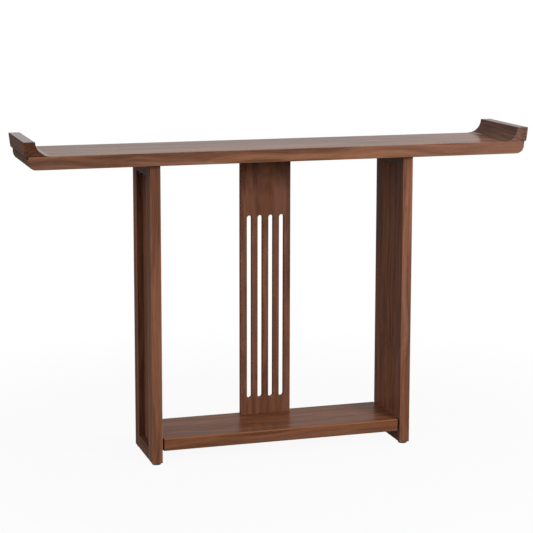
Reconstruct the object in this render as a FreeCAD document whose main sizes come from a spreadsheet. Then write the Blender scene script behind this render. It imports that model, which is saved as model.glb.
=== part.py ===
"""Walnut altar table: a plank top with everted end flanges, two framed legs, a shelf and a slat panel.

Millimetres, +Z up. The origin is on the floor, under the middle of the top. +X runs along the top and
-Y is the front. The sheet holds the driving sizes, and every piece is bound to it by expressions on its
aliases.
"""
import FreeCAD, Part
import os
import re

import Sketcher

os.makedirs("parts", exist_ok=True)
doc = FreeCAD.newDocument("altar_table")
Vector = FreeCAD.Vector

# Driving dimensions
SIZES = {
    "total_length": 1350,
    "total_depth": 240,
    "total_height": 850,
    "board_thickness": 33,
    "board_end_lean": 2,
    "board_end_radius": 22,
    "board_edge_radius": 1.5,
    "flange_height": 37,
    "flange_top_width": 30,
    "flange_lean": 4.5,
    "flange_toe": 0.6,
    "flange_step": 5,
    "flange_edge_radius": 2,
    "flange_heel_radius": 3,
    "flange_dowel_inset": 30,
    "leg_span": 710,
    "leg_depth": 200,
    "leg_thickness": 28,
    "leg_edge_radius": 3,
    "stile_width": 45,
    "top_rail_height": 30,
    "bottom_rail_height": 33,
    "tenon_length": 22,
    "tenon_thickness": 10,
    "tenon_shoulder": 6,
    "side_panel_thickness": 12,
    "side_panel_chamfer": 0.6,
    "tongue_length": 6,
    "tongue_thickness": 5,
    "side_slack": 0.1,
    "end_slack": 0.5,
    "shelf_top_height": 68,
    "shelf_thickness": 33,
    "shelf_setback": 4,
    "shelf_edge_radius": 4,
    "relief_width": 5,
    "relief_depth": 10,
    "slat_panel_width": 140,
    "slat_panel_thickness": 12,
    "slat_panel_inset": 15,
    "slat_panel_edge_radius": 1,
    "slot_count": 4,
    "slot_width": 13.5,
    "slot_bar_width": 16.5,
    "slot_bottom_margin": 45,
    "slot_top_margin": 166,
    "slot_edge_radius": 0.8,
    "dowel_diameter": 8,
    "dowel_length": 40,
    "dowel_chamfer": 0.8,
    "top_dowel_inset": 11,
    "slim_dowel_diameter": 6,
    "slim_dowel_length": 30,
    "slim_dowel_inset": 25,
    "bolt_diameter": 6,
    "bolt_engagement": 15,
    "bolt_head_diameter": 10,
    "bolt_head_height": 6,
    "bolt_socket_width": 5,
    "bolt_socket_depth": 3,
    "bolt_play": 0.5,
    "bolt_inset": 20,
    "washer_diameter": 12,
    "washer_thickness": 1.6,
    "insert_diameter": 10,
    "insert_length": 20,
    "cam_disc_diameter": 15,
    "cam_disc_roof": 1,
    "cam_disc_setback": 34,
    "cam_slot_width": 2,
    "cam_slot_depth": 2,
    "cam_thread_diameter": 7,
    "cam_thread_length": 11,
    "cam_shank_diameter": 5,
    "cam_head_length": 3,
    "screw_diameter": 4,
    "screw_reach": 20,
    "screw_tip_length": 5,
    "screw_head_diameter": 8,
    "screw_head_height": 3,
    "screw_sink": 4,
    "screw_inset": 50,
    "glide_diameter": 26,
    "glide_foot_diameter": 23,
    "glide_height": 5,
    "glide_inset": 15,
    "nail_diameter": 2.5,
    "nail_reach": 14,
    "nail_head_diameter": 6,
    "nail_head_height": 1.5,
    "nail_head_recess": 2.5,
}
sheet = doc.addObject("Spreadsheet::Sheet", "sizes")
for row, (alias, size) in enumerate(SIZES.items(), start=1):
    sheet.set(f"A{row}", alias)
    sheet.set(f"B{row}", str(size))
    sheet.setAlias(f"B{row}", alias)
doc.recompute()

# Lengths and heights that more than one piece shares, written on the sheet's aliases
BOARD_TOP = "(total_height - flange_height)"
BOARD_BOTTOM = f"({BOARD_TOP} - board_thickness)"
BOARD_LENGTH = "(total_length - 2 * flange_lean - 2 * flange_step)"
FLANGE_SWEEP = "(flange_height - flange_toe)"
FLANGE_WIDTH = f"({FLANGE_SWEEP} + flange_top_width)"
FLANGE_DOWEL_X = "(total_length / 2 - flange_lean / 2 - flange_top_width / 2)"
FLANGE_DOWEL_Y = "(total_depth / 2 - flange_dowel_inset)"
LEG_HEIGHT = f"({BOARD_BOTTOM} - glide_height)"
STILE_EDGE = "(leg_depth / 2 - stile_width)"
TOP_RAIL_BOTTOM = f"({LEG_HEIGHT} - top_rail_height)"
TOP_RAIL_MIDDLE = f"({LEG_HEIGHT} - top_rail_height / 2)"
TENON_MIDDLE = "((leg_thickness - side_panel_thickness / 2 - tongue_thickness / 2) / 2)"
TONGUE_MIDDLE = "(leg_thickness - side_panel_thickness / 2)"
GROOVE_DEPTH = "(tongue_length + end_slack)"
BOLT_DEPTH = "((leg_thickness - side_panel_thickness) / 2)"
BOLT_Y = f"({STILE_EDGE} - bolt_inset)"
BOLT_BORE = "(bolt_diameter + 2 * bolt_play)"
SHELF_LENGTH = "(leg_span - 2 * leg_thickness)"
SHELF_DEPTH = "(leg_depth - 2 * shelf_setback)"
SHELF_BOTTOM = "(shelf_top_height - shelf_thickness)"
SHELF_MIDDLE = f"({SHELF_BOTTOM} + shelf_thickness / 2)"
SLAT_FRONT = f"({SHELF_DEPTH} / 2 - slat_panel_inset - slat_panel_thickness)"
SLAT_MIDDLE = f"({SLAT_FRONT} + slat_panel_thickness / 2)"
SLAT_HEIGHT = f"({BOARD_BOTTOM} - shelf_top_height)"
SLIM_DOWEL_X = "(slat_panel_width / 2 - slim_dowel_inset)"
SCREW_X = "(slat_panel_width / 2 - screw_inset)"

# The shelf's dowels and cams share the stile's clear width, from the panel groove to the shelf's relief,
# and lie at its quarter points
CLEAR_LOW = f"({STILE_EDGE} + {GROOVE_DEPTH})"
CLEAR_HIGH = f"({SHELF_DEPTH} / 2 - relief_depth)"
CAM_Y = f"({CLEAR_LOW} * 3 / 4 + {CLEAR_HIGH} / 4)"
SHELF_DOWEL_Y = f"({CLEAR_LOW} / 4 + {CLEAR_HIGH} * 3 / 4)"
CAM_HEIGHT = "(shelf_thickness / 2)"
CAM_DISC_HEIGHT = f"({CAM_HEIGHT} + cam_thread_diameter / 2 + cam_disc_roof)"

SIDES = {"left": -1, "right": 1}
ENDS = {"front": -1, "rear": 1}
FLANGE_DOWELS = (-1, 0, 1)
DOWEL = ("dowel_diameter", "dowel_length")
SLIM_DOWEL = ("slim_dowel_diameter", "slim_dowel_length")
ALONG_X = Vector(1, 0, 0)
ALONG_Y = Vector(0, 1, 0)
ALONG_Z = Vector(0, 0, 1)
HALF_TURN = 180
TURNS = {
    "up": FreeCAD.Rotation(ALONG_Z, ALONG_Z),
    "down": FreeCAD.Rotation(ALONG_X, HALF_TURN),
    "right": FreeCAD.Rotation(ALONG_Z, ALONG_X),
    "left": FreeCAD.Rotation(ALONG_X, ALONG_Z),
}
pieces = []


# Expressions
def cells(text):
    """The expression with every alias read from the sheet."""
    return re.sub(r"[a-z_]+", lambda word: f"sizes.{word[0]}" if word[0] in SIZES else word[0], text)


def number(text):
    """The expression's value now."""
    return float(sheet.evalExpression(cells(text)))


def signed(text, sign):
    """A coordinate, or its mirror image."""
    return text if sign > 0 else f"-({text})"


def bind(thing, **sizes):
    """Ties properties to expressions."""
    for name, text in sizes.items():
        thing.setExpression(name, cells(text))


def put(thing, x="0", y="0", z="0", turn="up"):
    """Places a thing at three expressions."""
    thing.Placement.Rotation = TURNS[turn]
    for axis, text in zip("xyz", (x, y, z)):
        thing.setExpression(f"Placement.Base.{axis}", cells(text))


def keep(thing, label):
    """Names a finished piece."""
    thing.Label = label
    pieces.append(thing)
    return thing


# Timber pieces: bodies with sketches, pads, bores and rounded edges
def timber(label, x="0", y="0", z="0"):
    """An empty body at its place."""
    body = doc.addObject("PartDesign::Body", f"{label}_body")
    put(body, x, y, z)
    return keep(body, label)


def outline(body, name, role, path):
    """A closed sketch on an origin plane. A step is its first corner, and an arc's step adds its centre."""
    sketch = body.newObject("Sketcher::SketchObject", f"{body.Label}_{name}")
    plane = next(feature for feature in body.Origin.OriginFeatures if feature.Role == role)
    sketch.AttachmentSupport = [(plane, "")]
    sketch.MapMode = "FlatFace"
    corners = [Vector(number(step[0]), number(step[1]), 0) for step in path]
    ends = []
    for index, step in enumerate(path):
        start = corners[index]
        stop = corners[(index + 1) % len(path)]
        if len(step) == 2:
            sketch.addGeometry(Part.LineSegment(start, stop))
            ends.append((1, 2))
            continue
        centre = Vector(number(step[2]), number(step[3]), 0)
        forward = (start - centre).cross(stop - centre).z > 0
        first, last = (start, stop) if forward else (stop, start)
        circle = Part.Circle(centre, Vector(0, 0, 1), (start - centre).Length)
        sketch.addGeometry(Part.ArcOfCircle(circle, circle.parameter(first), circle.parameter(last)))
        ends.append((1, 2) if forward else (2, 1))
    for index, step in enumerate(path):
        following = (index + 1) % len(path)
        meeting = (index, ends[index][1], following, ends[following][0])
        sketch.addConstraint(Sketcher.Constraint("Coincident", *meeting))
        pin(sketch, f"corner{index}", index, ends[index][0], step[0], step[1])
        if len(step) > 2:
            pin(sketch, f"centre{index}", index, 3, None, step[3])
    return sketch


def pin(sketch, name, geometry, point, x, y):
    """Holds a sketch point at its expressions, or on an axis where one is zero."""
    for kind, text, axis in (("DistanceX", x, -2), ("DistanceY", y, -1)):
        if text is None:
            continue
        if text == "0":
            sketch.addConstraint(Sketcher.Constraint("PointOnObject", geometry, point, axis))
            continue
        index = sketch.addConstraint(Sketcher.Constraint(kind, -1, 1, geometry, point, number(text)))
        sketch.renameConstraint(index, f"{name}{kind}")
        sketch.setExpression(f"Constraints.{name}{kind}", cells(text))


def pad(body, sketch, length, side="One side", backward=False):
    """A sketch given its thickness."""
    feature = body.newObject("PartDesign::Pad", f"{sketch.Name}_pad")
    feature.Profile = sketch
    feature.SideType = side
    feature.Reversed = backward
    bind(feature, Length=length)
    return feature


def block(body, name, x, y, z, cut=False):
    """A box added to a body or cut from it, between two expressions along each axis."""
    kind = "PartDesign::SubtractiveBox" if cut else "PartDesign::AdditiveBox"
    feature = body.newObject(kind, f"{body.Label}_{name}")
    lengths = [f"({high}) - ({low})" for low, high in (x, y, z)]
    bind(feature, Length=lengths[0], Width=lengths[1], Height=lengths[2])
    put(feature, x[0], y[0], z[0])
    return feature


def bore(body, name, diameter, depth, x, y, z, turn):
    """A round hole from its mouth along one direction."""
    feature = body.newObject("PartDesign::SubtractiveCylinder", f"{body.Label}_{name}")
    bind(feature, Radius=f"({diameter}) / 2", Height=depth)
    put(feature, x, y, z, turn)
    return feature


def soften(body, name, size, wanted, kind="Fillet"):
    """Rounds or chamfers the edges that the test picks on the body so far."""
    doc.recompute()
    base = body.Tip
    edges = [f"Edge{index}" for index, edge in enumerate(base.Shape.Edges, start=1) if wanted(edge)]
    feature = body.newObject(f"PartDesign::{kind}", f"{body.Label}_{name}")
    feature.Base = (base, edges)
    bind(feature, **{"Radius" if kind == "Fillet" else "Size": size})
    return feature


def same(first, second):
    """Whether two coordinates agree."""
    return abs(first - second) < Part.Precision.confusion()


def along(edge, axis):
    """Whether an edge is straight and runs along an axis."""
    if not isinstance(edge.Curve, Part.Line):
        return False
    return same(abs(edge.Curve.Direction.dot(axis)), 1)


def around(middle, width):
    """The span of a width about its middle."""
    return f"{middle} - ({width}) / 2", f"{middle} + ({width}) / 2"


def mirrored(span, sign):
    """A span of two expressions, or its mirror image."""
    return span if sign > 0 else (f"-({span[1]})", f"-({span[0]})")


# Hardware: primitives fused and cut
def rod(name, diameter, length, x, y, z, turn="up", top=None):
    """A cylinder from its base along one direction, or a cone where the top's diameter differs."""
    if top is None:
        thing = doc.addObject("Part::Cylinder", name)
        bind(thing, Radius=f"({diameter}) / 2", Height=length)
    else:
        thing = doc.addObject("Part::Cone", name)
        bind(thing, Radius1=f"({diameter}) / 2", Radius2=f"({top}) / 2", Height=length)
    put(thing, x, y, z, turn)
    return thing


def joined(name, things):
    """Several primitives as one solid."""
    thing = doc.addObject("Part::MultiFuse", name)
    thing.Shapes = things
    return thing


def cut(name, base, tool):
    """One primitive less another."""
    thing = doc.addObject("Part::Cut", name)
    thing.Base = base
    thing.Tool = tool
    return thing


def group(label, things):
    """Like pieces that share a node, still separate solids."""
    thing = doc.addObject("Part::Compound", f"{label}_group")
    thing.Links = things
    return keep(thing, label)


def shifted(place, turn, distance):
    """A place moved by an expression in one direction."""
    x, y, z = place
    if turn in ("up", "down"):
        return x, y, f"({z}) + ({signed(distance, 1 if turn == 'up' else -1)})"
    return f"({x}) + ({signed(distance, 1 if turn == 'right' else -1)})", y, z


def dowel(name, diameter, length, middle, turn="up"):
    """A beech dowel with chamfered ends, centred on its joint."""
    lead = f"{diameter} - 2 * dowel_chamfer"
    base = shifted(middle, turn, f"-({length}) / 2")
    low = rod(f"{name}_low", lead, "dowel_chamfer", *base, turn, top=diameter)
    body_base = shifted(base, turn, "dowel_chamfer")
    shank = rod(f"{name}_shank", diameter, f"{length} - 2 * dowel_chamfer", *body_base, turn)
    far = shifted(base, turn, f"{length} - dowel_chamfer")
    high = rod(f"{name}_high", diameter, "dowel_chamfer", *far, turn, top=lead)
    return joined(name, [low, shank, high])


def loose(diameter):
    """A hole's diameter round a pin."""
    return f"{diameter} + 2 * side_slack"


def seat(body, name, diameter, length, x, y, z, turn):
    """The hole for half a dowel, a little wider and deeper than the dowel."""
    return bore(body, name, loose(diameter), f"({length}) / 2 + end_slack", x, y, z, turn)


# Top board: a plank whose end faces lean out and whose lower end corners are rounded
board = timber("top_board", x=f"-{BOARD_LENGTH} / 2", z=BOARD_BOTTOM)
plank = outline(board, "profile", "XZ_Plane", [
    ("board_end_lean", "0"),
    (f"{BOARD_LENGTH} - board_end_lean", "0"),
    (BOARD_LENGTH, "board_thickness"),
    ("0", "board_thickness"),
])
pad(board, plank, "total_depth", side="Symmetric")
soften(board, "ends", "board_end_radius",
       lambda edge: along(edge, ALONG_Y) and same(edge.CenterOfMass.z, 0))
half_depth = number("total_depth / 2")
soften(board, "arris", "board_edge_radius", lambda edge: same(abs(edge.CenterOfMass.y), half_depth))
for side, sign in SIDES.items():
    flange_x = f"{BOARD_LENGTH} / 2 + {signed(FLANGE_DOWEL_X, sign)}"
    for index in FLANGE_DOWELS:
        flange_y = f"{index} * {FLANGE_DOWEL_Y}"
        seat(board, f"{side}_flange_seat", *DOWEL, flange_x, flange_y, "board_thickness", "down")
    for end, way in ENDS.items():
        dowel_x = f"{BOARD_LENGTH} / 2 + {signed('leg_span / 2 - leg_thickness / 2', sign)}"
        dowel_y = signed("leg_depth / 2 - top_dowel_inset", way)
        seat(board, f"{side}_{end}_leg_seat", *DOWEL, dowel_x, dowel_y, "0", "up")
        insert_x = f"{BOARD_LENGTH} / 2 + {signed(f'leg_span / 2 - {BOLT_DEPTH}', sign)}"
        insert_y = signed(BOLT_Y, way)
        insert_depth = "insert_length + end_slack"
        bore(board, f"{side}_{end}_insert_bore", loose("insert_diameter"), insert_depth, insert_x, insert_y,
             "0", "up")
    slat_x = f"{BOARD_LENGTH} / 2 + {signed(SLIM_DOWEL_X, sign)}"
    seat(board, f"{side}_slat_seat", *SLIM_DOWEL, slat_x, SLAT_MIDDLE, "0", "up")

# Everted end flanges: blocks whose outer face leans, with a rounded heel that overhangs the board and a
# concave sweep inside, dowelled and glued on
for side, sign in SIDES.items():
    flange = timber(f"{side}_flange", x=signed(f"total_length / 2 - {FLANGE_WIDTH}", sign), z=BOARD_TOP)
    flange.Placement.Rotation = FreeCAD.Rotation(ALONG_Z, 0 if sign > 0 else HALF_TURN)
    flange_outline = outline(flange, "profile", "XZ_Plane", [
        ("0", "0"),
        (f"{FLANGE_WIDTH} - flange_lean", "0"),
        (FLANGE_WIDTH, "flange_height"),
        (FLANGE_SWEEP, "flange_height", "0", "flange_height"),
        ("0", "flange_toe"),
    ])
    pad(flange, flange_outline, "total_depth", side="Symmetric")
    crest = number("flange_height")
    soften(flange, "arris", "flange_edge_radius",
           lambda edge: along(edge, ALONG_Y) and same(edge.CenterOfMass.z, crest))
    soften(flange, "heel", "flange_heel_radius", lambda edge: along(edge, ALONG_Y)
           and same(edge.CenterOfMass.z, 0) and not same(edge.CenterOfMass.x, 0))
    flange_x = f"{FLANGE_WIDTH} - flange_lean / 2 - flange_top_width / 2"
    for index in FLANGE_DOWELS:
        flange_y = f"{index} * {FLANGE_DOWEL_Y}"
        seat(flange, "dowel_seat", *DOWEL, flange_x, flange_y, "0", "up")
    group(f"{side}_flange_dowels", [
        dowel(f"{side}_flange_dowel", *DOWEL,
              (signed(FLANGE_DOWEL_X, sign), f"{index} * {FLANGE_DOWEL_Y}", BOARD_TOP))
        for index in FLANGE_DOWELS
    ])

# Leg frames: two stiles and two rails, mortised and tenoned, round a side panel that is flush inside.
# Depths are measured from the leg's outer face inwards
for side, sign in SIDES.items():
    inward = -sign
    leg_place = {"x": signed("leg_span / 2", sign), "z": "glide_height"}
    tenon_x = mirrored(around(TENON_MIDDLE, "tenon_thickness"), inward)
    mortise_x = mirrored(around(TENON_MIDDLE, loose("tenon_thickness")), inward)
    tongue_x = mirrored(around(TONGUE_MIDDLE, "tongue_thickness"), inward)
    groove_x = mirrored(around(TONGUE_MIDDLE, loose("tongue_thickness")), inward)
    full_x = mirrored(("0", "leg_thickness"), inward)
    inner_x = signed("leg_thickness", inward)
    outward = "right" if sign > 0 else "left"

    for end, way in ENDS.items():
        stile = timber(f"{side}_{end}_stile", **leg_place)
        block(stile, "bar", full_x, mirrored((STILE_EDGE, "leg_depth / 2"), way), ("0", LEG_HEIGHT))
        face = number("leg_depth / 2")
        soften(stile, "arris", "leg_edge_radius",
               lambda edge: along(edge, ALONG_Z) and same(abs(edge.CenterOfMass.y), face))
        mortise_y = mirrored((STILE_EDGE, f"{STILE_EDGE} + tenon_length + end_slack"), way)
        low_mortise_z = around("bottom_rail_height / 2", loose("bottom_rail_height - 2 * tenon_shoulder"))
        block(stile, "bottom_mortise", mortise_x, mortise_y, low_mortise_z, cut=True)
        high_mortise_z = around(TOP_RAIL_MIDDLE, loose("top_rail_height - 2 * tenon_shoulder"))
        block(stile, "top_mortise", mortise_x, mortise_y, high_mortise_z, cut=True)
        block(stile, "groove", groove_x, mirrored((STILE_EDGE, f"{STILE_EDGE} + {GROOVE_DEPTH}"), way),
              (f"bottom_rail_height - {GROOVE_DEPTH}", f"{TOP_RAIL_BOTTOM} + {GROOVE_DEPTH}"), cut=True)
        middle_x = signed("leg_thickness / 2", inward)
        dowel_y = signed("leg_depth / 2 - top_dowel_inset", way)
        seat(stile, "top_dowel_seat", *DOWEL, middle_x, dowel_y, LEG_HEIGHT, "down")
        nail_y = signed("leg_depth / 2 - glide_inset", way)
        nail_depth = "nail_reach + end_slack"
        bore(stile, "nail_bore", loose("nail_diameter"), nail_depth, middle_x, nail_y, "0", "up")
        shelf_z = f"{SHELF_MIDDLE} - glide_height"
        peg_y = signed(SHELF_DOWEL_Y, way)
        seat(stile, "shelf_dowel_seat", *DOWEL, inner_x, peg_y, shelf_z, outward)
        cam_y = signed(CAM_Y, way)
        cam_depth = "cam_thread_length + end_slack"
        bore(stile, "cam_bore", loose("cam_thread_diameter"), cam_depth, inner_x, cam_y, shelf_z, outward)

    across_y = (f"-{STILE_EDGE}", STILE_EDGE)
    tenon_y = (f"-{STILE_EDGE} - tenon_length", f"{STILE_EDGE} + tenon_length")
    bottom_rail = timber(f"{side}_bottom_rail", **leg_place)
    block(bottom_rail, "bar", full_x, across_y, ("0", "bottom_rail_height"))
    low_tenon_z = around("bottom_rail_height / 2", "bottom_rail_height - 2 * tenon_shoulder")
    block(bottom_rail, "tenons", tenon_x, tenon_y, low_tenon_z)
    low_groove_z = (f"bottom_rail_height - {GROOVE_DEPTH}", "bottom_rail_height")
    block(bottom_rail, "groove", groove_x, across_y, low_groove_z, cut=True)

    top_rail = timber(f"{side}_top_rail", **leg_place)
    block(top_rail, "bar", full_x, across_y, (TOP_RAIL_BOTTOM, LEG_HEIGHT))
    high_tenon_z = around(TOP_RAIL_MIDDLE, "top_rail_height - 2 * tenon_shoulder")
    block(top_rail, "tenons", tenon_x, tenon_y, high_tenon_z)
    high_groove_z = (TOP_RAIL_BOTTOM, f"{TOP_RAIL_BOTTOM} + {GROOVE_DEPTH}")
    block(top_rail, "groove", groove_x, across_y, high_groove_z, cut=True)
    for end, way in ENDS.items():
        bore(top_rail, f"{end}_bolt_bore", BOLT_BORE, "top_rail_height", signed(BOLT_DEPTH, inward),
             signed(BOLT_Y, way), TOP_RAIL_BOTTOM, "up")

    side_panel = timber(f"{side}_side_panel", **leg_place)
    panel_x = mirrored(("leg_thickness - side_panel_thickness", "leg_thickness"), inward)
    block(side_panel, "field", panel_x, across_y, ("bottom_rail_height", TOP_RAIL_BOTTOM))
    inner_face = number(inner_x)
    soften(side_panel, "arris", "side_panel_chamfer",
           lambda edge: same(edge.CenterOfMass.x, inner_face), kind="Chamfer")
    tongue_y = (f"-{STILE_EDGE} - tongue_length", f"{STILE_EDGE} + tongue_length")
    tongue_z = ("bottom_rail_height - tongue_length", f"{TOP_RAIL_BOTTOM} + tongue_length")
    block(side_panel, "tongue", tongue_x, tongue_y, tongue_z)

# Leg fixings: dowels in the stiles' top ends, and bolts with washers up through the top rail into inserts
for side, sign in SIDES.items():
    dowels = []
    bolts = []
    washers = []
    inserts = []
    for end, way in ENDS.items():
        name = f"{side}_{end}"
        dowel_x = signed("leg_span / 2 - leg_thickness / 2", sign)
        dowel_y = signed("leg_depth / 2 - top_dowel_inset", way)
        dowels.append(dowel(f"{name}_top_dowel", *DOWEL, (dowel_x, dowel_y, BOARD_BOTTOM)))
        x = signed(f"leg_span / 2 - {BOLT_DEPTH}", sign)
        y = signed(BOLT_Y, way)
        washer_z = f"{TOP_RAIL_BOTTOM} + glide_height - washer_thickness"
        head_z = f"{washer_z} - bolt_head_height"
        shank_length = "bolt_head_height + washer_thickness + top_rail_height + bolt_engagement"
        shank = rod(f"{name}_bolt_shank", "bolt_diameter", shank_length, x, y, head_z)
        head = rod(f"{name}_bolt_head", "bolt_head_diameter", "bolt_head_height", x, y, head_z)
        socket = doc.addObject("Part::Prism", f"{name}_bolt_socket")
        socket.Polygon = 6
        bind(socket, Circumradius="bolt_socket_width / sqrt(3)", Height="bolt_socket_depth")
        put(socket, x, y, head_z)
        bolts.append(cut(f"{name}_bolt", joined(f"{name}_bolt_blank", [shank, head]), socket))
        plate = rod(f"{name}_washer_plate", "washer_diameter", "washer_thickness", x, y, washer_z)
        eye = rod(f"{name}_washer_eye", BOLT_BORE, "washer_thickness", x, y, washer_z)
        washers.append(cut(f"{name}_washer", plate, eye))
        sleeve = rod(f"{name}_insert_sleeve", "insert_diameter", "insert_length", x, y, BOARD_BOTTOM)
        thread = rod(f"{name}_insert_thread", loose("bolt_diameter"), "insert_length", x, y, BOARD_BOTTOM)
        inserts.append(cut(f"{name}_insert", sleeve, thread))
    group(f"{side}_top_dowels", dowels)
    group(f"{side}_top_bolts", bolts)
    group(f"{side}_bolt_washers", washers)
    group(f"{side}_threaded_inserts", inserts)

# Shelf: a board between the legs, relieved at its four corners, bored for dowels, cams and screws
shelf = timber("shelf", x=f"-{SHELF_LENGTH} / 2", y=f"-{SHELF_DEPTH} / 2", z=SHELF_BOTTOM)
shelf_outline = outline(shelf, "profile", "XY_Plane", [
    ("relief_width", "0"),
    (f"{SHELF_LENGTH} - relief_width", "0"),
    (f"{SHELF_LENGTH} - relief_width", "relief_depth"),
    (SHELF_LENGTH, "relief_depth"),
    (SHELF_LENGTH, f"{SHELF_DEPTH} - relief_depth"),
    (f"{SHELF_LENGTH} - relief_width", f"{SHELF_DEPTH} - relief_depth"),
    (f"{SHELF_LENGTH} - relief_width", SHELF_DEPTH),
    ("relief_width", SHELF_DEPTH),
    ("relief_width", f"{SHELF_DEPTH} - relief_depth"),
    ("0", f"{SHELF_DEPTH} - relief_depth"),
    ("0", "relief_depth"),
    ("relief_width", "relief_depth"),
])
pad(shelf, shelf_outline, "shelf_thickness")
shelf_edges = (0, number(SHELF_DEPTH))
soften(shelf, "arris", "shelf_edge_radius", lambda edge: along(edge, ALONG_X)
       and any(same(edge.CenterOfMass.y, y) for y in shelf_edges))
for side, sign in SIDES.items():
    end_x = "0" if sign < 0 else SHELF_LENGTH
    turn = "right" if sign < 0 else "left"
    disc_x = f"{SHELF_LENGTH} / 2 + {signed(f'{SHELF_LENGTH} / 2 - cam_disc_setback', sign)}"
    for end, way in ENDS.items():
        dowel_y = f"{SHELF_DEPTH} / 2 + {signed(SHELF_DOWEL_Y, way)}"
        cam_y = f"{SHELF_DEPTH} / 2 + {signed(CAM_Y, way)}"
        seat(shelf, f"{side}_{end}_dowel_seat", *DOWEL, end_x, dowel_y, CAM_HEIGHT, turn)
        bore(shelf, f"{side}_{end}_cam_bore", loose("cam_thread_diameter"), "cam_disc_setback", end_x,
             cam_y, CAM_HEIGHT, turn)
        disc_depth = f"{CAM_DISC_HEIGHT} + end_slack"
        bore(shelf, f"{side}_{end}_disc_bore", loose("cam_disc_diameter"), disc_depth, disc_x, cam_y,
             "0", "up")
    slat_x = f"{SHELF_LENGTH} / 2 + {signed(SLIM_DOWEL_X, sign)}"
    slat_y = f"{SHELF_DEPTH} / 2 + {SLAT_MIDDLE}"
    seat(shelf, f"{side}_slat_seat", *SLIM_DOWEL, slat_x, slat_y, "shelf_thickness", "down")
    screw_x = f"{SHELF_LENGTH} / 2 + {signed(SCREW_X, sign)}"
    bore(shelf, f"{side}_screw_bore", loose("screw_diameter"), "shelf_thickness", screw_x, slat_y, "0", "up")
    sink_depth = "screw_sink + screw_head_height"
    bore(shelf, f"{side}_screw_sink", loose("screw_head_diameter"), sink_depth, screw_x, slat_y, "0", "up")

# Shelf fixings: dowels, and cam bolts screwed in the stiles whose heads the cam discs pull
for side, sign in SIDES.items():
    turn = "right" if sign < 0 else "left"
    joint_x = signed(f"{SHELF_LENGTH} / 2", sign)
    disc_x = signed(f"{SHELF_LENGTH} / 2 - cam_disc_setback", sign)
    thread_x = signed(f"{SHELF_LENGTH} / 2 + cam_thread_length", sign)
    head_x = signed(f"{SHELF_LENGTH} / 2 - cam_disc_setback + cam_head_length", sign)
    throat_x = signed(f"{SHELF_LENGTH} / 2 - cam_disc_setback + cam_disc_diameter / 2", sign)
    dowels = []
    cam_bolts = []
    cam_discs = []
    for end, way in ENDS.items():
        name = f"{side}_{end}"
        y = signed(CAM_Y, way)
        dowel_middle = (joint_x, signed(SHELF_DOWEL_Y, way), SHELF_MIDDLE)
        dowels.append(dowel(f"{name}_shelf_dowel", *DOWEL, dowel_middle, turn))
        line = (y, SHELF_MIDDLE, turn)
        thread = rod(f"{name}_cam_thread", "cam_thread_diameter", "cam_thread_length", thread_x, *line)
        shank = rod(f"{name}_cam_shank", "cam_shank_diameter", "cam_disc_setback", joint_x, *line)
        head = rod(f"{name}_cam_head", "cam_thread_diameter", "cam_head_length", head_x, *line)
        cam_bolts.append(joined(f"{name}_cam_bolt", [thread, shank, head]))
        blank = rod(f"{name}_cam_blank", "cam_disc_diameter", CAM_DISC_HEIGHT, disc_x, y, SHELF_BOTTOM)
        throat_length = "cam_disc_diameter / 2 + end_slack"
        throat = rod(f"{name}_cam_throat", loose("cam_thread_diameter"), throat_length, throat_x, *line)
        driver = doc.addObject("Part::Box", f"{name}_cam_slot")
        bind(driver, Length="cam_disc_diameter", Width="cam_slot_width", Height="cam_slot_depth")
        put(driver, f"{disc_x} - cam_disc_diameter / 2", f"{y} - cam_slot_width / 2", SHELF_BOTTOM)
        cam_discs.append(cut(f"{name}_cam_disc", blank, joined(f"{name}_cam_hollow", [throat, driver])))
    group(f"{side}_shelf_dowels", dowels)
    group(f"{side}_cam_bolts", cam_bolts)
    group(f"{side}_cam_discs", cam_discs)

# Slat panel: a board with round-ended slots, standing near the rear edge of the shelf
slat_panel = timber("slat_panel", x="-slat_panel_width / 2", y=SLAT_FRONT, z="shelf_top_height")
slat_outline = outline(slat_panel, "profile", "XZ_Plane", [
    ("0", "0"),
    ("slat_panel_width", "0"),
    ("slat_panel_width", SLAT_HEIGHT),
    ("0", SLAT_HEIGHT),
])
pad(slat_panel, slat_outline, "slat_panel_thickness", backward=True)
soften(slat_panel, "arris", "slat_panel_edge_radius", lambda edge: along(edge, ALONG_Z))
SLOT_SPREAD = "((slot_width + slot_bar_width) * (slot_count - 1))"
SLOT_X = f"((slat_panel_width - {SLOT_SPREAD}) / 2)"
SLOT_LEFT = f"{SLOT_X} - slot_width / 2"
SLOT_RIGHT = f"{SLOT_X} + slot_width / 2"
SLOT_LOW = "slot_bottom_margin + slot_width / 2"
SLOT_HIGH = f"{SLAT_HEIGHT} - slot_top_margin - slot_width / 2"
slot_outline = outline(slat_panel, "slot", "XZ_Plane", [
    (SLOT_LEFT, SLOT_LOW, SLOT_X, SLOT_LOW),
    (SLOT_X, "slot_bottom_margin", SLOT_X, SLOT_LOW),
    (SLOT_RIGHT, SLOT_LOW),
    (SLOT_RIGHT, SLOT_HIGH, SLOT_X, SLOT_HIGH),
    (SLOT_X, f"{SLAT_HEIGHT} - slot_top_margin", SLOT_X, SLOT_HIGH),
    (SLOT_LEFT, SLOT_HIGH),
])
slot = slat_panel.newObject("PartDesign::Pocket", "slot")
slot.Profile = slot_outline
bind(slot, Length="slat_panel_thickness")
slots = slat_panel.newObject("PartDesign::LinearPattern", "slots")
slots.Originals = [slot]
slots.Direction = (slot_outline, ["H_Axis"])
bind(slots, Length=SLOT_SPREAD, Occurrences="slot_count")
slat_panel.Tip = slots
margin = number(f"({SLOT_LEFT}) / 2")
panel_width = number("slat_panel_width")
soften(slat_panel, "slot_arris", "slot_edge_radius",
       lambda edge: margin < edge.CenterOfMass.x < panel_width - margin
       and not along(edge, ALONG_X) and not along(edge, ALONG_Y))
slat_middle_y = "slat_panel_thickness / 2"
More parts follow.
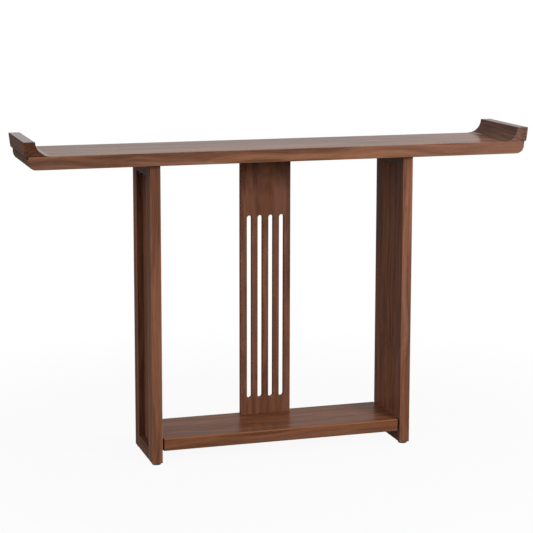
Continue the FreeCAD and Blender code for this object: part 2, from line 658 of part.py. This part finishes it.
for side, sign in SIDES.items():
    peg_x = f"slat_panel_width / 2 + {signed(SLIM_DOWEL_X, sign)}"
    seat(slat_panel, f"{side}_foot_seat", *SLIM_DOWEL, peg_x, slat_middle_y, "0", "up")
    seat(slat_panel, f"{side}_head_seat", *SLIM_DOWEL, peg_x, slat_middle_y, SLAT_HEIGHT, "down")
    screw_x = f"slat_panel_width / 2 + {signed(SCREW_X, sign)}"
    reach = "screw_reach + end_slack"
    bore(slat_panel, f"{side}_screw_bore", loose("screw_diameter"), reach, screw_x, slat_middle_y, "0", "up")

# Slat panel fixings: slim dowels at its head and foot, and screws up through the shelf
head_dowels = []
foot_dowels = []
screws = []
for side, sign in SIDES.items():
    peg_x = signed(SLIM_DOWEL_X, sign)
    for name, z, dowels in (("head", BOARD_BOTTOM, head_dowels), ("foot", "shelf_top_height", foot_dowels)):
        dowels.append(dowel(f"{side}_{name}_dowel", *SLIM_DOWEL, (peg_x, SLAT_MIDDLE, z)))
    place = (signed(SCREW_X, sign), SLAT_MIDDLE)
    head_z = f"{SHELF_BOTTOM} + screw_sink"
    shank_length = "shelf_thickness - screw_sink + screw_reach - screw_tip_length"
    head = rod(f"{side}_screw_head", "screw_head_diameter", "screw_head_height", *place, head_z,
               top="screw_diameter")
    shank = rod(f"{side}_screw_shank", "screw_diameter", shank_length, *place, head_z)
    tip_z = f"{head_z} + {shank_length}"
    tip = rod(f"{side}_screw_tip", "screw_diameter", "screw_tip_length", *place, tip_z, top="0")
    screws.append(joined(f"{side}_screw", [head, shank, tip]))
group("slat_panel_head_dowels", head_dowels)
group("slat_panel_foot_dowels", foot_dowels)
group("slat_panel_screws", screws)

# Glides: dark plastic feet, each held in its stile by a nail whose head is sunk
nails = []
for side, sign in SIDES.items():
    for end, way in ENDS.items():
        name = f"{side}_{end}"
        glide_x = signed("leg_span / 2 - leg_thickness / 2", sign)
        place = (glide_x, signed("leg_depth / 2 - glide_inset", way))
        foot = rod(f"{name}_glide_foot", "glide_foot_diameter", "glide_height", *place, "0",
                   top="glide_diameter")
        recess = rod(f"{name}_glide_recess", loose("nail_head_diameter"), "nail_head_recess", *place, "0")
        eye = rod(f"{name}_glide_eye", loose("nail_diameter"), "glide_height", *place, "0")
        keep(cut(f"{name}_glide_cut", foot, joined(f"{name}_glide_hollow", [recess, eye])), f"{name}_glide")
        nail_z = "nail_head_recess - nail_head_height"
        head = rod(f"{name}_nail_head", "nail_head_diameter", "nail_head_height", *place, nail_z)
        shank_length = f"glide_height + nail_reach - ({nail_z})"
        shank = rod(f"{name}_nail_shank", "nail_diameter", shank_length, *place, nail_z)
        nails.append(joined(f"{name}_nail", [head, shank]))
group("glide_nails", nails)

# Every object has to be sound before any piece is written
doc.recompute()
for thing in doc.Objects:
    if "Invalid" in thing.State or "Error" in thing.State:
        raise SystemExit(f"{thing.Label} did not build")
for piece in pieces:
    if piece.Shape.isNull() or not piece.Shape.isValid() or not piece.Shape.Solids:
        raise SystemExit(f"{piece.Label} has no sound solid")
for piece in pieces:
    piece.Shape.exportStep(f"parts/{piece.Label}.step")
    print(f"{piece.Label}: {len(piece.Shape.Solids)} solid, {piece.Shape.Volume:.0f} mm3")
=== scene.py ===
"""Walnut altar table: the finish of every piece, the studio, its lamps and the camera."""
import math

import bmesh
import bpy
from mathutils import Matrix, Vector


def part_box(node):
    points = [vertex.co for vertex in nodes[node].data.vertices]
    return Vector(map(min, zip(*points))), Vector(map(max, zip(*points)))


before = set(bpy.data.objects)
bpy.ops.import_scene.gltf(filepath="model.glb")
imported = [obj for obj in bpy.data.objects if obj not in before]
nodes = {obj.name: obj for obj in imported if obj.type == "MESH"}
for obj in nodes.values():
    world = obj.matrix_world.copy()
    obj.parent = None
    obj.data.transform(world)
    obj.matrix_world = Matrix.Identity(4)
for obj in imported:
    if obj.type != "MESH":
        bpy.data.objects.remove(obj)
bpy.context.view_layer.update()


# Top board: one thick walnut plank, grain running from end to end. It is planed flat, its arrises are
# barely eased, and it carries a thin satin lacquer that greys at a low angle.
class Channel:
    """A shader socket that takes part in sums."""

    def __init__(self, finish, socket):
        self.finish = finish
        self.socket = socket

    def __add__(self, other):
        return self.finish.maths("ADD", self, other)

    def __sub__(self, other):
        return self.finish.maths("SUBTRACT", self, other)

    def __rsub__(self, other):
        return self.finish.maths("SUBTRACT", other, self)

    def __mul__(self, other):
        return self.finish.maths("MULTIPLY", self, other)

    def __truediv__(self, other):
        return self.finish.maths("DIVIDE", self, other)

    def __pow__(self, other):
        return self.finish.maths("POWER", self, other)

    __radd__ = __add__
    __rmul__ = __mul__


class Finish:
    """The look of a new material, or of the studio's air. Expressions add its nodes as they use them."""

    def __init__(self, block, shader="Principled BSDF"):
        block.use_nodes = True
        self.block = block
        self.tree = block.node_tree
        self.shader = self.tree.nodes[shader]

    def node(self, kind, settings=None, values=None, output=0):
        """A node with its settings, then the values or links of its sockets."""
        node = self.tree.nodes.new(f"ShaderNode{kind}")
        for name, setting in (settings or {}).items():
            setattr(node, name, setting)
        for name, value in (values or {}).items():
            self.plug(node.inputs[name], value)
        return Channel(self, node.outputs[output])

    def plug(self, socket, value):
        """Gives a socket a link, a colour of three parts, or any other value."""
        if isinstance(value, Channel):
            self.tree.links.new(value.socket, socket)
        elif socket.type == "RGBA":
            socket.default_value = (*value, 1)
        else:
            socket.default_value = value

    def maths(self, operation, *values):
        return self.node("Math", {"operation": operation}, dict(enumerate(values)))

    def vector(self, operation, first, second=(0, 0, 0)):
        """A sum on vectors. A dot product and a distance come out as one number."""
        output = "Value" if operation in ("DOT_PRODUCT", "DISTANCE") else "Vector"
        return self.node("VectorMath", {"operation": operation}, {0: first, 1: second}, output)

    def split(self, place):
        """The three parts of a vector."""
        separate = self.node("SeparateXYZ", None, {0: place}).socket.node
        return [Channel(self, socket) for socket in separate.outputs]

    def join(self, x, y, z):
        """A vector from its three parts."""
        return self.node("CombineXYZ", None, {"X": x, "Y": y, "Z": z})

    def blend(self, share, first, second):
        """Two colours mixed by a share. A Mix node takes colours at its sockets 6 and 7."""
        return self.node("Mix", {"data_type": "RGBA"}, {0: share, 6: first, 7: second}, output=2)

    def noise(self, place, scale, detail=2, roughness=0.5):
        """Cloudy values from 0 to 1, about even in the middle."""
        values = {"Vector": place, "Scale": scale, "Detail": detail, "Roughness": roughness}
        return self.node("TexNoise", None, values)

    def ramp(self, value, low, high, start=0, end=1):
        """A value stretched from one range to another, held at its ends."""
        values = {"Value": value, "From Min": low, "From Max": high, "To Min": start, "To Max": end}
        return self.node("MapRange", {"interpolation_type": "SMOOTHSTEP"}, values)

    def layer(self, place, scale, low, high, detail=1, roughness=0.5):
        """A noise that goes from none to full between two of its values."""
        return self.ramp(self.noise(place, scale, detail, roughness), low, high)

    def seen(self):
        """One for rays from the camera or a mirroring surface, and zero for those that light the table."""
        rays = "Camera", "Glossy", "Transmission"
        return sum(self.node("LightPath", output=f"Is {ray} Ray") for ray in rays)

    def surface(self, **sockets):
        """Feeds the shader. Names are the sockets' own, with spaces as underscores."""
        for name, value in sockets.items():
            self.plug(self.shader.inputs[name.replace("_", " ")], value)
        return self.block


# The figure of walnut is made of noises, counted to the metre across the grain and drawn out along it. Each
# shows by its own share, round a middle tone that lies so far from pale to dark. The broad bands push the
# year rings aside by a share of a ring.
BANDS, BLUSH, STREAKS, THREADS, PORES = 52, 30, 120, 420, 900
BANDS_ALONG, FIBRES_ALONG = 0.045, 0.022
STREAKS_SHOW, THREADS_SHOW, PORES_SHOW = 0.24, 0.34, 0.45
MIDDLE_TONE = 0.4
RINGS_PUSHED = 0.8
ROSY_SHARES = (0.86, 0.93, 1.15)
OTHER_CLOUD = (3.1, 1.7, 5.9)

# The fibres stray from straight by up to half of this many metres, in slow waves.
STRAY = 0.05
WAVES_ACROSS, WAVES_ALONG, WAVES = 2, 2.2, 1.6
OTHER_WAVE = (7.3, 2.1, 4.7)

# The pores are this deep in metres, and the lacquer leaves a share of that. The threads stand up by a share
# of the pores' depth, and make the sheen uneven.
PORE_DEPTH = 0.0002
PORES_LEFT = 0.25
THREADS_RAISED = 0.4
THREADS_UNEVEN = 0.12


def toned(shade, share):
    """A colour made darker or paler."""
    return tuple(part * share for part in shade)


def walnut(name, grain, heart, seed, pale, dark, film=0.1, haze=0.35, polished=None, level=0.7, arris_highlight=0.4,
           ends=0.55, figure=0.34, rings=(0.0048, 0.11), shadow_line=None, painted_light=None):
    """Lacquered walnut, between a pale and a dark colour.

    The grain letter is the axis of the fibres, heart is where the tree's pith lies on the other two axes, and
    another seed gives another plank. Figure is how strongly the broad bands of the grain show, and rings is
    how far apart the year rings are and how strongly they show. Painted light is where along the plank a
    painted pool of light makes it paler, and how much.

    Film is how much of the light the lacquer throws back, and haze is how blurred its reflections are.
    Polished is the film of upper faces, which were polished to a higher sheen, and level is how far up a face
    has to look to be one. Arris highlight is how much paler a painted highlight makes the rounded arrises,
    and
    ends how much the cut ends of the fibres darken. Shadow line is where a painted shadow lies as a dark
    line:
    how far out on the x axis, and how high.
    """
    finish = Finish(bpy.data.materials.new(name))
    place = finish.split(finish.node("TexCoord", output="Object"))
    normal = finish.node("TexCoord", output="Normal")
    facing = finish.split(normal)
    fibre_axis = "XYZ".index(grain)
    along = place[fibre_axis]
    across, through = [part for part in place if part is not along]

    # The way of the fibres.
    drift = finish.join(across * WAVES_ACROSS + seed, through * WAVES_ACROSS, along * WAVES_ALONG)
    other_drift = finish.vector("ADD", drift, OTHER_WAVE)
    across = across + (finish.noise(drift, WAVES, detail=1) - 0.5) * STRAY
    through = through + (finish.noise(other_drift, WAVES, detail=1) - 0.5) * STRAY
    wide = finish.join(across + seed, through, along * BANDS_ALONG)
    fibres = finish.join(across + seed, through, along * FIBRES_ALONG)

    # The figure, layer by layer.
    bands = finish.layer(wide, BANDS, low=0.36, high=0.64)
    blush = finish.layer(finish.vector("ADD", wide, OTHER_CLOUD), BLUSH, low=0.4, high=0.65)
    streaks = finish.layer(fibres, STREAKS, low=0.34, high=0.68, detail=3, roughness=0.55)
    threads = finish.noise(fibres, THREADS, detail=2, roughness=0.6)
    pores = finish.layer(fibres, PORES, low=0.62, high=0.72)
    ring_gap, rings_show = rings
    from_heart = ((across - heart[0]) ** 2 + (through - heart[1]) ** 2) ** 0.5
    ring_count = from_heart / ring_gap + bands * RINGS_PUSHED
    ring = finish.ramp(finish.maths("PINGPONG", ring_count, 0.5) * 2, low=0.15, high=0.95)

    # The colour of the wood, then its pores, painted light, cut ends, painted arris highlight and painted
    # shadow line.
    depth = (bands - 0.5) * figure + (streaks - 0.5) * STREAKS_SHOW + ring * rings_show
    depth = depth + (threads - 0.5) * THREADS_SHOW + MIDDLE_TONE
    rosy = tuple(part * share for part, share in zip(pale, ROSY_SHARES))
    colour = finish.blend(depth, finish.blend(blush, pale, rosy), dark)
    filled_pore = toned(dark, 0.35)
    colour = finish.blend(pores * PORES_SHOW, colour, filled_pore)
    # A painted pool of light: the plank is painted paler towards one end.
    if painted_light:
        reach, share = painted_light
        colour = finish.blend(finish.ramp(along, *reach) * share, colour, rosy)
    if ends:
        cut = facing[fibre_axis]
        end_grain = finish.blend(ring, toned(dark, 1.5), toned(dark, 0.6))
        colour = finish.blend(finish.ramp(cut * cut, low=0.7, high=0.95) * ends, colour, end_grain)
    # A painted highlight: the rounded arrises are painted paler by this share.
    if arris_highlight:
        # The parts of a normal add up to 1 on a flat face, and to more on a round.
        slant = finish.vector("DOT_PRODUCT", finish.vector("ABSOLUTE", normal), (1, 1, 1))
        painted_highlight = toned(pale, 1.5)
        colour = finish.blend(finish.ramp(slant, low=1.12, high=1.36) * arris_highlight, colour, painted_highlight)
    # A painted shadow: a dark line painted on the plank's ends, under the flanges' lips.
    if shadow_line:
        out, up = shadow_line
        line = finish.ramp(finish.maths("ABSOLUTE", place[0]), *out) * finish.ramp(place[2], *up)
        painted_shadow = toned(dark, 0.3)
        colour = finish.blend(line, colour, painted_shadow)

    # The lacquer.
    relief = threads * THREADS_RAISED - pores
    bump = finish.node("Bump", None, {"Strength": PORES_LEFT, "Distance": PORE_DEPTH, "Height": relief})
    if polished:
        film = film + finish.ramp(facing[2], low=level, high=0.98) * (polished - film)
    return finish.surface(Base_Color=colour, Roughness=0.5 + (threads - 0.5) * THREADS_UNEVEN, Normal=bump,
                          Specular_IOR_Level=0.0, Coat_Weight=film, Coat_Roughness=haze)


def dress(material, *names):
    """Gives CAD nodes their finish."""
    for name in names:
        slots = nodes[name].data.materials
        slots.clear()
        slots.append(material)


# A painted shadow lies in a line under the flanges' lips, on the board's ends. Each pair is where the line
# begins and where it is full: how far in from the plank's end, and how far below its top.
SHADOW_LINE_INSET = (0.0045, 0.0023)
SHADOW_LINE_DROP = (0.0065, 0.004)
board_end, _, board_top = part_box("top_board")[1]
lip_shadow = [board_end - inset for inset in SHADOW_LINE_INSET], [board_top - drop for drop in SHADOW_LINE_DROP]
# The board's right end is painted paler, as a painted pool of light.
board_walnut = walnut("walnut_top", "X", heart=(0.03, 0.55), seed=30.4, pale=(0.475, 0.211, 0.114),
                      dark=(0.113, 0.0435, 0.025), film=0.06, haze=0.19, polished=0.43, arris_highlight=0, ends=0.8,
                      figure=0.46, shadow_line=lip_shadow, painted_light=((0.36, 0.66), 0.5))
dress(board_walnut, "top_board")

# End flanges: two blocks glued and doweled on the board's ends, hollowed inside and leaning out. Their grain
# crosses the table, so the front faces show end grain in flat lines.
flange_planks = {
    "left": {"heart": (-0.62, 0.4), "seed": 23.33, "film": 0.09, "polished": 0.66, "level": 0.9,
             "pale": (0.235, 0.086, 0.037), "dark": (0.066, 0.022, 0.011)},
    "right": {"heart": (0.62, 0.4), "seed": 33.44, "film": 0.05, "polished": 0.5, "level": 0.94,
              "pale": (0.33, 0.175, 0.12), "dark": (0.098, 0.047, 0.032)}}
for side, plank in flange_planks.items():
    flange_walnut = walnut(f"walnut_{side}_flange", "Y", haze=0.19, arris_highlight=0, ends=0, figure=0.2,
                           rings=(0.009, 0.3), **plank)
    dress(flange_walnut, f"{side}_flange")

# Legs: two stiles and two rails round a thin panel that is flush inside, tenoned together and bolted up into
# the top board. The fibres of stiles and panels stand upright, and the rails' run from front to rear.
STILE_HEART = (0.2, -0.4)
# The seeds of a leg's other pieces are counted on from its front stile's.
REAR_STILE_SEED, PANEL_SEED, RAIL_SEED = 1.7, -1.01, 4.3
for side, seed, pale, dark in (
        ("left", 37.44, (0.46, 0.19, 0.104), (0.109, 0.0415, 0.022)),
        ("right", 36.59, (0.47, 0.197, 0.105), (0.108, 0.042, 0.022))):
    front_walnut = walnut(f"walnut_{side}_front_stile", "Z", STILE_HEART, seed, pale, dark)
    rear_walnut = walnut(f"walnut_{side}_rear_stile", "Z", STILE_HEART, seed + REAR_STILE_SEED,
                         pale=(0.4, 0.165, 0.09), dark=(0.1, 0.038, 0.02))
    panel_walnut = walnut(f"walnut_{side}_side_panel", "Z", (0.7, 0.02), seed + PANEL_SEED,
                          pale=(0.475, 0.192, 0.097), dark=(0.124, 0.0465, 0.0238), film=0.07)
    rail_walnut = walnut(f"walnut_{side}_rails", "Y", (0.3, 0.9), seed + RAIL_SEED,
                         pale=(0.32, 0.13, 0.068), dark=(0.095, 0.035, 0.018))
    dress(front_walnut, f"{side}_front_stile")
    dress(rear_walnut, f"{side}_rear_stile")
    dress(panel_walnut, f"{side}_side_panel")
    dress(rail_walnut, f"{side}_top_rail", f"{side}_bottom_rail")

# Shelf: a walnut board between the legs, with its grain along the table and its long arrises rounded. Dowels
# and cams hold it to the stiles. It is lacquered like the top board, but duller.
shelf_walnut = walnut("walnut_shelf", "X", heart=(0.02, 0.5), seed=43.74, pale=(0.385, 0.148, 0.066),
                      dark=(0.098, 0.0345, 0.0148), film=0.22, haze=0.3, polished=0.32, level=0.2)
dress(shelf_walnut, "shelf")

# Slat panel: a thin upright walnut board with four round-ended slots, standing near the shelf's rear edge.
# Dowels hold its head and its foot, and screws come up into the foot through the shelf.
slat_walnut = walnut("walnut_slat_panel", "Z", heart=(0.01, 0.5), seed=63.44, pale=(0.355, 0.146, 0.079),
                     dark=(0.102, 0.039, 0.022))
dress(slat_walnut, "slat_panel")


# Glides: small round feet of nearly black plastic, one under each stile, each held by a nail. Moulded plastic
# is a little uneven in colour and sheen.
def flecked(name, ground, fleck, roughness, scale, detail, spread=0.2, metallic=0.0):
    """A plain finish with fine flecks in its colour, which are rougher by the spread."""
    finish = Finish(bpy.data.materials.new(name))
    flecks = finish.noise(finish.node("TexCoord", output="Object"), scale, detail)
    return finish.surface(Base_Color=finish.blend(flecks, ground, fleck), Metallic=metallic,
                          Roughness=roughness + flecks * spread)


def left_and_right(*pieces):
    """The names of pieces that the table has at both ends."""
    return [f"{side}_{piece}" for side in ("left", "right") for piece in pieces]


glide_plastic = flecked("glide_plastic", (0.012, 0.009, 0.007), (0.03, 0.022, 0.018), 0.4,
                        scale=900, detail=2)
dress(glide_plastic, *left_and_right("front_glide", "rear_glide"))


# Fixings: steel bolts and washers in black zinc plate, cam bolts, nails and screws in bright zinc plate, cast
# cams, brass inserts and beech dowels. Nearly all of them are shut inside the joints.
def metal(name, ground, fleck, roughness):
    """Plated or cast metal with a cloudy skin."""
    return flecked(name, ground, fleck, roughness, scale=260, detail=4, spread=0.15, metallic=1.0)


black_plating = metal("black_zinc_plating", (0.03, 0.024, 0.02), (0.014, 0.012, 0.01), 0.5)
zinc_plating = metal("zinc_plating", (0.62, 0.64, 0.66), (0.42, 0.44, 0.47), 0.25)
cam_casting = metal("cam_casting", (0.5, 0.5, 0.5), (0.34, 0.34, 0.35), 0.4)
insert_brass = metal("insert_brass", (0.72, 0.52, 0.24), (0.5, 0.34, 0.14), 0.3)
beech = flecked("beech", (0.62, 0.43, 0.27), (0.45, 0.28, 0.16), 0.6, scale=700, detail=3)
dress(black_plating, *left_and_right("top_bolts", "bolt_washers"))
dress(zinc_plating, *left_and_right("cam_bolts"), "slat_panel_screws", "glide_nails")
dress(cam_casting, *left_and_right("cam_discs"))
dress(insert_brass, *left_and_right("threaded_inserts"))
dress(beech, *left_and_right("flange_dowels", "top_dowels", "shelf_dowels"))
dress(beech, "slat_panel_head_dowels", "slat_panel_foot_dowels")

# Studio floor: a plain sheet that the camera sees pale, with the table's shadow, fading into the background.
# For the light itself the sheet is dim, so that little of it comes back up under the table.
FLOOR_REACH = 30
# The shadow fades out between these distances from the table's middle. Nearer, this share of the sheet only
# glows, and the rest takes the lamps' light and the shadow.
FADE_START, FADE_END = 0.6, 1.6
GLOW_UNDER_TABLE = 0.93
bm = bmesh.new()
bmesh.ops.create_grid(bm, x_segments=1, y_segments=1, size=FLOOR_REACH)
floor_mesh = bpy.data.meshes.new("floor")
bm.to_mesh(floor_mesh)
bm.free()
floor = bpy.data.objects.new("floor", floor_mesh)
bpy.context.scene.collection.objects.link(floor)
paper = Finish(bpy.data.materials.new("floor_paper"))
paper.surface(Base_Color=(0.08, 0.08, 0.08), Roughness=1.0, Specular_IOR_Level=0.0)
floor_mesh.materials.append(paper.block)
glow = paper.node("Emission", None, {"Color": (1, 1, 1), "Strength": 1.0})
catch = paper.node("BsdfDiffuse", None, {"Color": (0.8, 0.8, 0.8)})
from_middle = paper.vector("DISTANCE", paper.node("TexCoord", output="Object"))
fade = paper.ramp(from_middle, FADE_START, FADE_END, start=GLOW_UNDER_TABLE)
pale_sheet = paper.node("MixShader", None, {0: fade, 1: catch, 2: glow})
dim_sheet = Channel(paper, paper.shader.outputs[0])
sheet = paper.node("MixShader", None, {0: paper.seen(), 1: dim_sheet, 2: pale_sheet})
paper.plug(paper.tree.nodes["Material Output"].inputs["Surface"], sheet)

# Background: white wherever the camera or a reflection looks past the floor, and a dim even fill otherwise,
# as from the walls of a pale room.
ROOM_LIGHT = 0.37
studio = bpy.data.worlds.new("studio")
bpy.context.scene.world = studio
air = Finish(studio, "Background")
brightness = air.node("MapRange", None, {"Value": air.seen(), "To Min": ROOM_LIGHT, "To Max": 1.0})
air.surface(Color=(1, 1, 1), Strength=brightness)

# Lamps: a big soft key from the front right, a weaker fill from the left and a faint light from above. The
# lacquer mirrors the pale room and not the lamps, as if they stood behind cloth.
AIM = Vector((0, 0, 0.45))


def lamp(name, place, size, power):
    """A round soft lamp that looks at the middle of the table."""
    light = bpy.data.lights.new(name, "AREA")
    light.shape = "DISK"
    light.size = size
    light.energy = power
    stand = bpy.data.objects.new(name, light)
    stand.location = place
    stand.rotation_euler = (AIM - Vector(place)).to_track_quat("-Z", "Y").to_euler()
    stand.visible_glossy = False
    bpy.context.scene.collection.objects.link(stand)


lamp("key", (1.8, -2.7, 1.6), size=1.3, power=61)
lamp("top_light", (0.1, -1.2, 2.7), size=1.0, power=2)
lamp("left_fill", (-3.2, -0.6, 1.2), size=1.2, power=9)

# Camera: where the photograph was taken from, to the left of the table and a little above its top. Its lens
# is given in the photograph's own pixels, its shift in widths of the picture and its angles in radians.
IMAGE_PIXELS = 533
LENS_PIXELS = 1692.8
SENSOR = 36
VIEWPOINT = (-1.3062, -4.2161, 1.3092)
YAW, PITCH, ROLL = 0.306, 0.1529, 0.0029
SHIFT_RIGHT, SHIFT_UP = -0.03, -0.1
forward = Vector((math.sin(YAW) * math.cos(PITCH), math.cos(YAW) * math.cos(PITCH), -math.sin(PITCH)))
sideways = Vector((math.cos(YAW), -math.sin(YAW), 0))
upright = sideways.cross(forward)
right = sideways * math.cos(ROLL) + upright * math.sin(ROLL)
up = upright * math.cos(ROLL) - sideways * math.sin(ROLL)
lens = bpy.data.cameras.new("camera")
lens.sensor_width = SENSOR
lens.lens = LENS_PIXELS / IMAGE_PIXELS * SENSOR
lens.shift_x = SHIFT_RIGHT
lens.shift_y = SHIFT_UP
camera = bpy.data.objects.new("camera", lens)
turn = Matrix((right, up, -forward)).transposed().to_4x4()
camera.matrix_world = Matrix.Translation(VIEWPOINT) @ turn
bpy.context.scene.collection.objects.link(camera)
bpy.context.scene.camera = camera
bpy.context.scene.view_settings.view_transform = "Standard"
